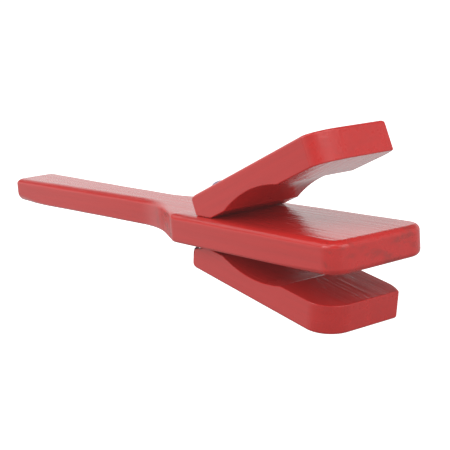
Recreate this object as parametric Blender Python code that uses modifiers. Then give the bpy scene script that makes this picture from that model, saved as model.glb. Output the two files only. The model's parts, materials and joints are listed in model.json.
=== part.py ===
"""A pair of wooden castanets on a handle.

A long paddle carries one clapper above its board and one below. Each clapper rocks on the front
edge of its slanted heel. One elastic cord, knotted under the lower clapper, ties the three boards
together through two rows of holes.

Frame: metres. The origin is the middle of the board's front end face. +X points out of that face,
+Z up, and the board and its handle run towards -X.
"""

import math

import bmesh
import bpy
from mathutils import Euler, Matrix

MM = 0.001

# Paddle
PADDLE_LENGTH = 213.5 * MM
BOARD_LENGTH = 79.6 * MM
BOARD_WIDTH = 36.4 * MM
PADDLE_THICKNESS = 9.4 * MM
BOARD_CORNER_RADIUS = 6.0 * MM
WAIST_WIDTH = 14.2 * MM
TAIL_WIDTH = 18.8 * MM
TAIL_CORNER_RADIUS = 4.0 * MM
TAIL_SWELL_POWER = 1.3
FLARE_RADIUS = 50.0 * MM
FLARE_ANGLE = math.radians(22.0)
PADDLE_ROUNDOVER = 1.8 * MM
TAIL_BOTTOM_ROUNDOVER = 3.2 * MM

# Clappers
CLAPPER_LENGTH = 65.0 * MM
CLAPPER_WIDTH = 30.0 * MM
CLAPPER_THICKNESS = 9.0 * MM
CLAPPER_NEAR_RADIUS = 9.0 * MM
CLAPPER_FAR_REACH = 6.5 * MM
CLAPPER_FAR_INSET = 1.8 * MM
CLAPPER_REAR_RADIUS = 1.0 * MM
CLAPPER_ROUNDOVER = 0.7 * MM
CLAPPER_REAR_ROUNDOVER = 2.4 * MM
HEEL_LENGTH = 7.9 * MM
SCOOP_CENTRE = 30.1 * MM
SCOOP_HALF_LENGTH = 14.3 * MM
SCOOP_DEPTH = 2.3 * MM
SCOOP_REAR_FILLET = 9.0 * MM

# Pivots: the line that each clapper rocks on
UPPER_PIVOT_X = -61.0 * MM
LOWER_PIVOT_X = -64.0 * MM
PIVOT_GAP = 0.4 * MM
HEEL_ANGLE = math.radians(21.5)
UPPER_OPENING = HEEL_ANGLE
LOWER_OPENING = math.radians(10.8)

# Cord and its holes
CORD_DIAMETER = 2.4 * MM
HOLE_DIAMETER = 3.4 * MM
HOLE_SPACING = 17.0 * MM
HOLE_BEHIND_PIVOT = 3.4 * MM
CORD_GAP = 0.3 * MM
CORD_BEND = 1.8 * MM
KNOT_LENGTH = 7.6 * MM
KNOT_WIDTH = 6.0 * MM
KNOT_HEIGHT = 4.8 * MM

# Colours, linear
RED_LACQUER = (0.49, 0.05, 0.045, 1.0)
CORD_BLUE = (0.13, 0.12, 0.30, 1.0)

ARC_STEPS = 8
ROUNDOVER_SEGMENTS = 4
HOLE_SIDES = 24
SAME_PLACE = 0.001 * MM
CUT_MARGIN = 2.0 * MM


def clear_scene():
    for thing in list(bpy.data.objects):
        bpy.data.objects.remove(thing, do_unlink=True)


def new_collection(name):
    collection = bpy.data.collections.new(name)
    bpy.context.scene.collection.children.link(collection)
    return collection


def material(name, colour, roughness, coat):
    made = bpy.data.materials.new(name)
    made.use_nodes = True
    shader = made.node_tree.nodes["Principled BSDF"]
    shader.inputs["Base Color"].default_value = colour
    shader.inputs["Roughness"].default_value = roughness
    shader.inputs["Metallic"].default_value = 0.0
    shader.inputs["Coat Weight"].default_value = coat
    made.diffuse_color = colour
    return made


def arc(centre_x, centre_y, radius, start, end, steps=ARC_STEPS):
    """Points from the angle start to the angle end, both in radians."""
    points = []
    for step in range(steps + 1):
        angle = start + (end - start) * step / steps
        points.append((centre_x + radius * math.cos(angle), centre_y + radius * math.sin(angle)))
    return points


def curve_to_mesh_object(curve_object, collection):
    """The curve's evaluated shape as a welded mesh object in the same place."""
    name = curve_object.name
    matrix = curve_object.matrix_world.copy()
    graph = bpy.context.evaluated_depsgraph_get()
    mesh = bpy.data.meshes.new_from_object(curve_object.evaluated_get(graph))
    curve = curve_object.data
    bpy.data.objects.remove(curve_object, do_unlink=True)
    bpy.data.curves.remove(curve)
    shape = bmesh.new()
    shape.from_mesh(mesh)
    bmesh.ops.remove_doubles(shape, verts=shape.verts, dist=SAME_PLACE)
    shape.to_mesh(mesh)
    shape.free()
    mesh.name = name
    made = bpy.data.objects.new(name, mesh)
    collection.objects.link(made)
    made.matrix_world = matrix
    return made


def slab(name, outline, thickness, collection, matrix=Matrix.Identity(4)):
    """A flat outline in the local XY plane, given a thickness centred on that plane."""
    curve = bpy.data.curves.new(name, "CURVE")
    curve.dimensions = "2D"
    curve.fill_mode = "BOTH"
    curve.extrude = thickness / 2
    spline = curve.splines.new("POLY")
    spline.points.add(len(outline) - 1)
    for point, (x, y) in zip(spline.points, outline):
        point.co = (x, y, 0.0, 1.0)
    spline.use_cyclic_u = True
    curve_object = bpy.data.objects.new(name, curve)
    collection.objects.link(curve_object)
    curve_object.matrix_world = matrix
    bpy.context.view_layer.update()
    made = curve_to_mesh_object(curve_object, collection)
    shape = bmesh.new()
    shape.from_mesh(made.data)
    caps = [face for face in shape.faces if abs(face.normal.z) > 0.99]
    inner_edges = [edge for edge in shape.edges if all(face in caps for face in edge.link_faces)]
    bmesh.ops.dissolve_edges(shape, edges=inner_edges, use_verts=False)
    bmesh.ops.recalc_face_normals(shape, faces=shape.faces)
    shape.to_mesh(made.data)
    shape.free()
    return made


def cord_tube(name, points, radius, collection):
    """A round cord along a line of points, with filled ends, as a mesh object."""
    curve = bpy.data.curves.new(name, "CURVE")
    curve.dimensions = "3D"
    curve.bevel_depth = radius
    curve.bevel_resolution = 2
    curve.use_fill_caps = True
    spline = curve.splines.new("POLY")
    spline.points.add(len(points) - 1)
    for point, place in zip(spline.points, points):
        point.co = (*place, 1.0)
    curve_object = bpy.data.objects.new(name, curve)
    collection.objects.link(curve_object)
    bpy.context.view_layer.update()
    return curve_to_mesh_object(curve_object, collection)


def round_rims(target, width_at):
    """Round the rims of a flat piece. width_at gives the width at the middle of a rim's edge."""
    mesh = target.data
    widths = []
    for edge in mesh.edges:
        start, end = (mesh.vertices[index].co for index in edge.vertices)
        level = abs(start.z - end.z) < SAME_PLACE
        widths.append(width_at((start + end) / 2) if level else 0.0)
    widest = max(widths)
    weights = mesh.attributes.new("bevel_weight_edge", "FLOAT", "EDGE")
    for edge, width in zip(mesh.edges, widths):
        weights.data[edge.index].value = width / widest
    bevel = target.modifiers.new("Roundover", "BEVEL")
    bevel.limit_method = "WEIGHT"
    bevel.width = widest
    bevel.segments = ROUNDOVER_SEGMENTS
    bevel.use_clamp_overlap = True


def cut(target, cutter):
    boolean = target.modifiers.new("Cut_" + cutter.name, "BOOLEAN")
    boolean.operation = "DIFFERENCE"
    boolean.solver = "EXACT"
    boolean.object = cutter
    cutter.hide_render = True
    cutter.display_type = "WIRE"


def adopt(name, collection):
    """Name the shape that was just added and keep it in one collection."""
    made = bpy.context.object
    made.name = name
    for owner in list(made.users_collection):
        owner.objects.unlink(made)
    collection.objects.link(made)
    return made


def drill(name, length, centre, collection):
    """A round cutter for a cord hole, standing along Z."""
    bpy.ops.mesh.primitive_cylinder_add(
        vertices=HOLE_SIDES, radius=HOLE_DIAMETER / 2, depth=length, location=centre
    )
    return adopt(name, collection)


def paddle_outline():
    """Half of the outline on the +Y side, front to tail, then its mirror image."""
    half_board = BOARD_WIDTH / 2
    half_waist = WAIST_WIDTH / 2
    half_tail = TAIL_WIDTH / 2
    corner = BOARD_CORNER_RADIUS
    half = arc(-corner, half_board - corner, corner, 0.0, math.pi / 2)
    half.append((-BOARD_LENGTH, half_board))
    flare_top = half_waist + FLARE_RADIUS * (1.0 - math.cos(FLARE_ANGLE))
    flare_x = -BOARD_LENGTH - (half_board - flare_top) / math.tan(FLARE_ANGLE)
    waist_x = flare_x - FLARE_RADIUS * math.sin(FLARE_ANGLE)
    centre_y = half_waist + FLARE_RADIUS
    half += arc(waist_x, centre_y, FLARE_RADIUS, FLARE_ANGLE - math.pi / 2, -math.pi / 2)
    tail_start = TAIL_CORNER_RADIUS - PADDLE_LENGTH
    for step in range(1, ARC_STEPS):
        share = step / ARC_STEPS
        swell = (half_tail - half_waist) * share ** TAIL_SWELL_POWER
        half.append((waist_x + (tail_start - waist_x) * share, half_waist + swell))
    corner = TAIL_CORNER_RADIUS
    half += arc(tail_start, half_tail - corner, corner, math.pi / 2, math.pi)
    return half + [(x, -y) for x, y in reversed(half)]


def paddle_rim_width(place):
    """The bottom rim is rounded more and more towards the handle's end."""
    if place.z > 0:
        return PADDLE_ROUNDOVER
    share = max(0.0, -place.x - BOARD_LENGTH) / (PADDLE_LENGTH - BOARD_LENGTH)
    return PADDLE_ROUNDOVER + (TAIL_BOTTOM_ROUNDOVER - PADDLE_ROUNDOVER) * share


def build_paddle(parts, cutters, wood):
    paddle = slab("paddle", paddle_outline(), PADDLE_THICKNESS, parts)
    round_rims(paddle, paddle_rim_width)
    for side, label in ((-1, "near"), (1, "far")):
        centre = (hole_x(), side * HOLE_SPACING / 2, 0.0)
        depth = PADDLE_THICKNESS + 2 * CUT_MARGIN
        cut(paddle, drill("paddle_hole_" + label, depth, centre, cutters))
    paddle.data.materials.append(wood)
    return paddle


def hole_x():
    """The board's holes lie midway between the holes of the two clappers."""
    return (UPPER_PIVOT_X + LOWER_PIVOT_X) / 2 - HOLE_BEHIND_PIVOT


def clapper_outline(far_side):
    """Seen along the pivot frame's Z, with X counted from the pivot line.

    The front corner on the near side is well rounded. The one on the far side is only eased: the side
    curves in a little and meets the front end at an edge. far_side is 1 or -1, the sign of its Y.
    """
    rear = -HEEL_LENGTH
    front = CLAPPER_LENGTH - HEEL_LENGTH
    half = CLAPPER_WIDTH / 2
    reach = CLAPPER_FAR_REACH
    ease_radius = (reach ** 2 + CLAPPER_FAR_INSET ** 2) / (2 * CLAPPER_FAR_INSET)
    ease_start = math.pi / 2 - math.asin(reach / ease_radius)
    far = arc(front - reach, half - ease_radius, ease_radius, ease_start, math.pi / 2)
    big = CLAPPER_NEAR_RADIUS
    near = arc(front - big, half - big, big, 0.0, math.pi / 2)
    small = CLAPPER_REAR_RADIUS
    rear_corner = arc(rear + small, half - small, small, math.pi / 2, math.pi, ARC_STEPS // 2)
    first = far + rear_corner
    second = near + rear_corner
    return [(x, far_side * y) for x, y in first] + [(x, -far_side * y) for x, y in reversed(second)]


def scoop_outline():
    """The hollow across the inner face: soft at the rear, a sharp edge at the front."""
    half = SCOOP_HALF_LENGTH
    radius = (half ** 2 + SCOOP_DEPTH ** 2) / (2 * SCOOP_DEPTH)
    middle_x = SCOOP_CENTRE - HEEL_LENGTH
    middle_z = SCOOP_DEPTH - radius
    front_angle = math.asin(half / radius)
    fillet = SCOOP_REAR_FILLET
    reach = math.sqrt((radius + fillet) ** 2 - (fillet + middle_z) ** 2)
    fillet_x = middle_x - reach
    rear_angle = math.asin(reach / (radius + fillet))
    top = math.pi / 2
    hollow = arc(middle_x, middle_z, radius, top - front_angle, top + rear_angle, 2 * ARC_STEPS)
    start = rear_angle - top
    hollow += arc(fillet_x, fillet, fillet, start, -top)[1:]
    rear_x = hollow[-1][0]
    front_x = hollow[0][0]
    return hollow + [(rear_x, -CUT_MARGIN), (front_x, -CUT_MARGIN)]


def rear_rounding_outline():
    """What is cut away to round the top of the rear end."""
    rear = -HEEL_LENGTH
    top = CLAPPER_THICKNESS
    radius = CLAPPER_REAR_ROUNDOVER
    edge = arc(rear + radius, top - radius, radius, math.pi / 2, math.pi)
    corner_x = rear - CUT_MARGIN
    corner_z = top + CUT_MARGIN
    return edge + [(corner_x, top - radius), (corner_x, corner_z), (rear + radius, corner_z)]


def heel_outline():
    """The wedge that leaves the heel slanted behind the pivot line."""
    reach = HEEL_LENGTH + CUT_MARGIN
    return [(0.0, 0.0), (-reach, reach * math.tan(HEEL_ANGLE)), (-reach, -CUT_MARGIN), (0.0, -CUT_MARGIN)]


def clapper_rim_width(place):
    """Only the outer rim is rounded."""
    return CLAPPER_ROUNDOVER if place.z > 0 else 0.0


def build_clapper_mesh(name, far_side, parts, cutters, wood):
    """A clapper lying on its inner face, with the pivot line along Y through the origin."""
    lift = Matrix.Translation((0.0, 0.0, CLAPPER_THICKNESS / 2))
    clapper = slab(name + "_blank", clapper_outline(far_side), CLAPPER_THICKNESS, parts, lift)
    round_rims(clapper, clapper_rim_width)
    across = Matrix.Rotation(math.pi / 2, 4, "X")
    width = CLAPPER_WIDTH + 2 * CUT_MARGIN
    outlines = {"scoop": scoop_outline(), "heel": heel_outline(), "rear": rear_rounding_outline()}
    for label, outline in outlines.items():
        cut(clapper, slab(f"{name}_{label}_cutter", outline, width, cutters, across))
    for side, label in ((-1, "near"), (1, "far")):
        centre = (-HOLE_BEHIND_PIVOT, side * HOLE_SPACING / 2, CLAPPER_THICKNESS / 2)
        depth = CLAPPER_THICKNESS + 2 * CUT_MARGIN
        cut(clapper, drill(f"{name}_{label}_hole", depth, centre, cutters))
    bpy.context.view_layer.update()
    graph = bpy.context.evaluated_depsgraph_get()
    mesh = bpy.data.meshes.new_from_object(clapper.evaluated_get(graph))
    mesh.transform(lift)
    bpy.data.objects.remove(clapper, do_unlink=True)
    mesh.materials.clear()
    mesh.materials.append(wood)
    return mesh


def pivot(name, x, side, opening, parts):
    """An empty on a clapper's pivot line, turned to the clapper's opening."""
    empty = bpy.data.objects.new(name, None)
    empty.location = (x, 0.0, side * (PADDLE_THICKNESS / 2 + PIVOT_GAP))
    if side > 0:
        empty.rotation_euler = Euler((0.0, -opening, 0.0))
    else:
        empty.rotation_euler = Euler((math.pi, opening, 0.0))
    parts.objects.link(empty)
    return empty


def cord_loop_points():
    """Up one hole, across the clapper's outer face and down the other, in the clapper's frame."""
    x = -HOLE_BEHIND_PIVOT
    half = HOLE_SPACING / 2
    low = (HOLE_BEHIND_PIVOT + CORD_DIAMETER / 2) * math.tan(HEEL_ANGLE)
    high = CLAPPER_THICKNESS + CORD_GAP + CORD_DIAMETER / 2
    bend = CORD_BEND
    first = arc(bend - half, high - bend, bend, math.pi, math.pi / 2, ARC_STEPS // 2)
    second = [(-y, z) for y, z in reversed(first)]
    path = [(-half, low)] + first + second + [(half, low)]
    return [(x, y, z) for y, z in path]


def build_upper_loop(parts, cord):
    loop = cord_tube("cord_upper_loop", cord_loop_points(), CORD_DIAMETER / 2, parts)
    loop.data.materials.append(cord)
    return loop


def build_lower_loop(parts, cutters, cord):
    """The loop under the lower clapper, with the knot that closes the cord."""
    loop = cord_tube("cord_lower_loop", cord_loop_points(), CORD_DIAMETER / 2, parts)
    knot_z = CLAPPER_THICKNESS + CORD_GAP + KNOT_HEIGHT / 2
    bpy.ops.mesh.primitive_uv_sphere_add(segments=16, ring_count=10, radius=0.5)
    knot = adopt("knot", cutters)
    size = Matrix.Diagonal((KNOT_WIDTH, KNOT_LENGTH, KNOT_HEIGHT, 1.0))
    knot.data.transform(Matrix.Translation((-HOLE_BEHIND_PIVOT, 0.0, knot_z)) @ size)
    joined = loop.modifiers.new("Knot", "BOOLEAN")
    joined.operation = "UNION"
    joined.solver = "EXACT"
    joined.object = knot
    knot.hide_render = True
    knot.display_type = "WIRE"
    loop.data.materials.append(cord)
    return loop, knot


def build_leg(name, side, parts, cord):
    """The stretch of cord inside one of the board's holes."""
    x = hole_x()
    y = side * HOLE_SPACING / 2
    half = PADDLE_THICKNESS / 2
    leg = cord_tube(name, [(x, y, -half), (x, y, half)], CORD_DIAMETER / 2, parts)
    leg.data.materials.append(cord)
    return leg


def shade(made):
    made.data.shade_smooth()
    made.data.set_sharp_from_angle(angle=math.radians(30.0))


def build():
    clear_scene()
    parts = new_collection("castanets")
    cutters = new_collection("cutters")
    paddle_wood = material("paddle_wood", RED_LACQUER, 0.25, 0.6)
    clapper_wood = material("clapper_wood", RED_LACQUER, 0.25, 0.6)
    cord = material("elastic_cord", CORD_BLUE, 0.8, 0.0)

    paddle = build_paddle(parts, cutters, paddle_wood)
    upper_pivot = pivot("upper_pivot", UPPER_PIVOT_X, 1, UPPER_OPENING, parts)
    lower_pivot = pivot("lower_pivot", LOWER_PIVOT_X, -1, LOWER_OPENING, parts)
    clappers = []
    for name, far_side, holder in (("upper_clapper", 1, upper_pivot), ("lower_clapper", -1, lower_pivot)):
        mesh = build_clapper_mesh(name, far_side, parts, cutters, clapper_wood)
        clapper = bpy.data.objects.new(name, mesh)
        parts.objects.link(clapper)
        clapper.parent = holder
        clappers.append(clapper)
    upper_loop = build_upper_loop(parts, cord)
    upper_loop.parent = upper_pivot
    lower_loop, knot = build_lower_loop(parts, cutters, cord)
    lower_loop.parent = lower_pivot
    knot.parent = lower_pivot
    near_leg = build_leg("cord_near_leg", -1, parts, cord)
    far_leg = build_leg("cord_far_leg", 1, parts, cord)
    for made in (paddle, *clappers, upper_loop, lower_loop, near_leg, far_leg):
        shade(made)
    bpy.context.view_layer.update()


build()
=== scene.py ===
"""The looks of a pair of wooden castanets on a handle: three red lacquered boards and one elastic cord.

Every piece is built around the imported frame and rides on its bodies. Lengths are in metres.
"""

import json
import math

import bmesh
import bpy
from mathutils import Euler, Matrix, Vector

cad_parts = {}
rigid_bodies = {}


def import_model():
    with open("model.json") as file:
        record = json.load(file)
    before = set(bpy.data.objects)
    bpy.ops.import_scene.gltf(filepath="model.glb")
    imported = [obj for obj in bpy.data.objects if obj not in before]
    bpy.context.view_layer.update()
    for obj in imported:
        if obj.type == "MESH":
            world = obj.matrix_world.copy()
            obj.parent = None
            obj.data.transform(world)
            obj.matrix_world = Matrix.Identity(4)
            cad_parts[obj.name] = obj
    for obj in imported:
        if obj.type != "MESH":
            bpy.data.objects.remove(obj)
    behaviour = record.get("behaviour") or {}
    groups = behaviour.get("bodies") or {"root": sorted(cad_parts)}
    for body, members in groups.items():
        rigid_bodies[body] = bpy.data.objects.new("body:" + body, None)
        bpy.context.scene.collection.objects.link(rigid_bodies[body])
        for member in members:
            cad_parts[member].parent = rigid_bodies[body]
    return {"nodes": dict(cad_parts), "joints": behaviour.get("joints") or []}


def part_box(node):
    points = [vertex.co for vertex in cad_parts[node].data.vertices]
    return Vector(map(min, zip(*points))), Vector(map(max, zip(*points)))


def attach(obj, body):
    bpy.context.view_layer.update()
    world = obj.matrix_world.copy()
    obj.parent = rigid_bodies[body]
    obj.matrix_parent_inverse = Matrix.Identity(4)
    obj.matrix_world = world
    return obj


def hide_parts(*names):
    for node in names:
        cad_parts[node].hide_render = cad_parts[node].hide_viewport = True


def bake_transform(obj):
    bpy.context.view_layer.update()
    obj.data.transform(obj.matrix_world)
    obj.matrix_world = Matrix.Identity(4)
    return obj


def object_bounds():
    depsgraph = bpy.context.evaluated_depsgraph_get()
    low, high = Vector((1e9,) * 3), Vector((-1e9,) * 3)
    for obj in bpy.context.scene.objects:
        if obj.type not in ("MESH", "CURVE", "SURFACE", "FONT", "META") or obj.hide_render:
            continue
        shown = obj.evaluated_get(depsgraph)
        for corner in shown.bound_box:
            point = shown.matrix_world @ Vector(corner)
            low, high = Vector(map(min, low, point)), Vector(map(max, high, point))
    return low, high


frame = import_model()
CAD_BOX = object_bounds()

MM = 0.001

# Sizes of the frame
PADDLE_LOW, PADDLE_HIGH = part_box("paddle")
LEG_LOW, LEG_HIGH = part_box("cord_near_leg")
BOARD_WIDTH = PADDLE_HIGH.y - PADDLE_LOW.y
PADDLE_THICKNESS = PADDLE_HIGH.z - PADDLE_LOW.z
HALF_THICKNESS = PADDLE_THICKNESS / 2
CORD_RADIUS = (LEG_HIGH.y - LEG_LOW.y) / 2
HOLE_X = (LEG_LOW.x + LEG_HIGH.x) / 2
HOLE_Y = abs(LEG_LOW.y + LEG_HIGH.y) / 2
JOINTS = {joint["name"]: joint for joint in frame["joints"]}

# Shape of the paddle
BOARD_LENGTH = 79.1 * MM
BOARD_CORNER_RADIUS = 6.0 * MM
WAIST_WIDTH = 14.2 * MM
TAIL_WIDTH = 18.8 * MM
TAIL_CORNER_RADIUS = 4.0 * MM
TAIL_SWELL_POWER = 1.3
FLARE_RADIUS = 54.0 * MM
FLARE_ANGLE = math.radians(24.5)
SHOULDER_SOFTENING = 1.2 * MM
PADDLE_ROUNDOVER = 1.9 * MM
NEAR_RIM_SPREAD = 1.8
BOTTOM_ROUNDOVER = 1.1 * MM
TAIL_BOTTOM_ROUNDOVER = 3.8 * MM
TAIL_BOTTOM_LIMIT = 0.95 * TAIL_CORNER_RADIUS
END_ROUNDING_REACH = 14.0 * MM
SHOULDER_ROUNDOVER_SHARE = 0.55
SHOULDER_ROUNDOVER_REACH = 14.0 * MM
SHOULDER_EASE = 4.0 * MM
SANDING_WAVER = 0.06

# Shape of a clapper, counted from its pivot line and its inner face. A near corner is an
# ellipse's quarter: its reach along the clapper, then across it.
UPPER_NEAR_CORNER = (4.6 * MM, 11.0 * MM)
LOWER_NEAR_CORNER = (8.2 * MM, 9.4 * MM)
CLAPPER_FAR_REACH = 6.5 * MM
CLAPPER_FAR_INSET = 1.8 * MM
CLAPPER_REAR_RADIUS = 1.0 * MM
CLAPPER_ROUNDOVER = 0.9 * MM
CLAPPER_CORNER_ROUNDOVER = 1.5 * MM
CLAPPER_CORNER_REACH = 4.0 * MM
CLAPPER_REAR_ROUNDOVER = 3.4 * MM
UPPER_HEEL_ROUNDOVER = 0.6 * MM
LOWER_HEEL_ROUNDOVER = 2.2 * MM
UPPER_SETTLING = 0.3 * MM
CLAPPER_INNER_SOFTENING = 0.35 * MM
SCOOP_FROM_REAR = 30.1 * MM
SCOOP_HALF_LENGTH = 14.3 * MM
SCOOP_DEPTH = 2.3 * MM
SCOOP_REAR_FILLET = 9.0 * MM

# Cord holes
HOLE_RADIUS = 1.7 * MM
HOLE_RIM = 0.5 * MM
HOLE_BEHIND_PIVOT = 3.4 * MM

# Cord
CORD_BEND = 1.9 * MM
CORD_LIFT = 0.15 * MM
CORD_LEAN = 1.0 * MM
KNOT_STRAND = 0.85 * MM
BRAID_STRANDS = 4
BRAID_PITCH = 1.5 * MM
BRAID_RELIEF = 0.11
BRAID_WEAVE = 0.38
BRAID_YARN_ROUNDNESS = 0.6
CORD_CAP_HEIGHT = 0.55
SPAN_RADIUS = 0.96 * CORD_RADIUS
KNOT_ENTRY_RADIUS = 0.95 * CORD_RADIUS
KNOT_STRAND_RADIUS = 0.95 * KNOT_STRAND
CORD_SIDES = 48
CORD_STEP = 0.14 * MM

# Fineness
ARC_STEPS = 28
SMALL_ARC_STEPS = 8
FAR_CORNER_STEPS = 12
ROUNDOVER_SEGMENTS = 8
SOFTENING_SEGMENTS = 7
RIM_STEPS = 14
HOLE_SIDES = 64
CORD_CAP_STEPS = 6
PATH_SUBSTEPS = 24
SAME_PLACE = 0.001 * MM
SAME_EDGE_LINE = 0.05 * MM
STEEP_EDGE_RISE = 3.0 * MM
CUT_MARGIN = 2.0 * MM
CROSSING_ANGLE = math.radians(5.0)
FLAT_ANGLE = math.radians(0.5)
CREASE_ANGLE = math.radians(16.0)
SOFTENED_ANGLE = math.radians(17.0)

# Camera
CAMERA_TARGET = Vector((-74.3 * MM, 0.0, -1.4 * MM))
CAMERA_DISTANCE = 362.1 * MM
CAMERA_AZIMUTH = math.radians(54.32)
CAMERA_ELEVATION = math.radians(10.80)
CAMERA_ROLL = math.radians(-4.06)
CAMERA_LENS = 87.25
SENSOR_WIDTH = 36.0

# Studio
FLOOR_HEIGHT = CAD_BOX[0][2] - 110.0 * MM
FLOOR_RADIUS = 4.0
SOFTBOX_DISTANCE = 0.9
BAND_TOP = math.radians(17.0)
DOME_BOTTOM = math.radians(30.0)
BAND_STRENGTH = 0.92
DOME_STRENGTH = 0.16
BACKDROP_STRENGTH = 1.1
LENS_VEIL = 0.010

# Looks
WHITE = (1.0, 1.0, 1.0, 1.0)
LACQUER_RED = (0.56, 0.018, 0.015, 1.0)
PORE_RED = (0.06, 0.006, 0.006, 1.0)
YARN_FIRST = (0.33, 0.24, 0.33, 1.0)
YARN_SECOND = (0.26, 0.19, 0.29, 1.0)
YARN_FIBRE = (0.44, 0.37, 0.47, 1.0)
YARN_FADED = (0.26, 0.23, 0.36, 1.0)
# Painted shade: the dark colour laid into the braid's crevices.
YARN_CREVICE_PAINTED_SHADE = (0.07, 0.055, 0.14, 1.0)
YARN_FROM_AFAR = (0.15, 0.13, 0.33, 1.0)
GRAIN_WANDER = 3.0 * MM
FLARE_DULL_FROM = -79.0 * MM
FLARE_DULL_TO = -82.0 * MM


# ---------------------------------------------------------------- shapes


def new_collection(name):
    collection = bpy.data.collections.new(name)
    bpy.context.scene.collection.children.link(collection)
    return collection


def arc(centre_x, centre_y, radius, start, end, steps=ARC_STEPS):
    """Points from the angle start to the angle end, both in radians."""
    points = []
    for step in range(steps + 1):
        angle = start + (end - start) * step / steps
        points.append((centre_x + radius * math.cos(angle), centre_y + radius * math.sin(angle)))
    return points


def link_mesh(name, mesh, collection):
    made = bpy.data.objects.new(name, mesh)
    collection.objects.link(made)
    return made


def skin(name, rings, collection, matrix=Matrix.Identity(4)):
    """A closed solid through rings of points from bottom to top, each with the same number of points."""
    shape = bmesh.new()
    rows = [[shape.verts.new(point) for point in ring] for ring in rings]
    count = len(rings[0])
    shape.faces.new(rows[0])
    shape.faces.new(rows[-1])
    for low, high in zip(rows, rows[1:]):
        for index in range(count):
            following = (index + 1) % count
            shape.faces.new((low[index], low[following], high[following], high[index]))
    bmesh.ops.recalc_face_normals(shape, faces=shape.faces)
    mesh = bpy.data.meshes.new(name)
    shape.to_mesh(mesh)
    shape.free()
    made = link_mesh(name, mesh, collection)
    made.matrix_world = matrix
    return made


def slab(name, outline, low, high, collection, matrix=Matrix.Identity(4)):
    """A closed outline in the local XY plane, extruded from the height low to the height high."""
    rings = [[(x, y, height) for x, y in outline] for height in (low, high)]
    return skin(name, rings, collection, matrix)


def turned(name, profile, centre, collection):
    """A solid turned about a vertical line: the profile is (radius, height) from bottom to top."""
    rings = []
    for radius, height in profile:
        circle = arc(0.0, 0.0, radius, 0.0, 2 * math.pi, HOLE_SIDES)[:-1]
        rings.append([(x, y, height) for x, y in circle])
    return skin(name, rings, collection, Matrix.Translation(centre))


def hole_cutter(name, low, high, centre, collection):
    """A hole from the height low to the height high whose two rims are rounded."""
    mouth = HOLE_RADIUS + HOLE_RIM + CUT_MARGIN / 4
    rim = []
    for step in range(SMALL_ARC_STEPS + 1):
        angle = math.pi / 2 * step / SMALL_ARC_STEPS
        rim.append((HOLE_RADIUS + HOLE_RIM * (1 - math.sin(angle)), HOLE_RIM * (1 - math.cos(angle))))
    profile = [(mouth, low - CUT_MARGIN)]
    profile += [(radius, low + depth) for radius, depth in rim]
    profile += [(radius, high - depth) for radius, depth in reversed(rim)]
    profile.append((mouth, high + CUT_MARGIN))
    return turned(name, profile, centre, collection)


def weigh_edges(mesh, weight_of):
    """Set each edge's bevel weight from its two end points."""
    weights = mesh.attributes.get("bevel_weight_edge") or mesh.attributes.new(
        "bevel_weight_edge", "FLOAT", "EDGE"
    )
    for edge in mesh.edges:
        start, end = (mesh.vertices[index].co for index in edge.vertices)
        weights.data[edge.index].value = weight_of(edge, start, end)


def waver(place):
    """A slow change along an edge, as hand sanding leaves it, between -1 and 1."""
    along = place.x / MM
    return 0.6 * math.sin(0.21 * along + 40.0 * place.y) + 0.4 * math.sin(0.083 * along + 2.0)


def round_rims(target, width_at):
    """Round the rims of a flat piece. width_at gives the width at the middle of a rim's edge."""
    widths = {}
    for edge in target.data.edges:
        start, end = (target.data.vertices[index].co for index in edge.vertices)
        middle = (start + end) / 2
        level = abs(start.z - end.z) < SAME_PLACE
        widths[edge.index] = width_at(middle) * (1 + SANDING_WAVER * waver(middle)) if level else 0.0
    widest = max(widths.values())
    weigh_edges(target.data, lambda edge, start, end: widths[edge.index] / widest)
    add_bevel(target, widest, ROUNDOVER_SEGMENTS)


def add_bevel(target, width, segments):
    bevel = target.modifiers.new("Roundover", "BEVEL")
    bevel.limit_method = "WEIGHT"
    bevel.width = width
    bevel.segments = segments
    bevel.use_clamp_overlap = False


def cut(target, cutter):
    boolean = target.modifiers.new("Cut_" + cutter.name, "BOOLEAN")
    boolean.operation = "DIFFERENCE"
    boolean.solver = "EXACT"
    boolean.object = cutter
    cutter.hide_render = True
    cutter.display_type = "WIRE"


def settle(target):
    """Replace a piece's mesh with the result of its modifiers."""
    bpy.context.view_layer.update()
    graph = bpy.context.evaluated_depsgraph_get()
    mesh = bpy.data.meshes.new_from_object(target.evaluated_get(graph))
    target.modifiers.clear()
    target.data = mesh
    mesh.name = target.name
    return mesh


def finish_shading(target):
    target.data.shade_smooth()
    target.data.set_sharp_from_angle(angle=CREASE_ANGLE)
    normals = target.modifiers.new("Normals", "WEIGHTED_NORMAL")
    normals.keep_sharp = True
    normals.weight = 100


# ---------------------------------------------------------------- wooden pieces


def shoulder_points(half_board):
    """The soft corner where the board's side turns into the flare."""
    reach = SHOULDER_SOFTENING
    before = Vector((-BOARD_LENGTH + reach, half_board))
    corner = Vector((-BOARD_LENGTH, half_board))
    after = corner + Vector((-math.cos(FLARE_ANGLE), -math.sin(FLARE_ANGLE))) * reach
    points = []
    for step in range(SMALL_ARC_STEPS + 1):
        share = step / SMALL_ARC_STEPS
        point = before * (1 - share) ** 2 + corner * (2 * share * (1 - share)) + after * share**2
        points.append((point.x, point.y))
    return points


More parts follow.
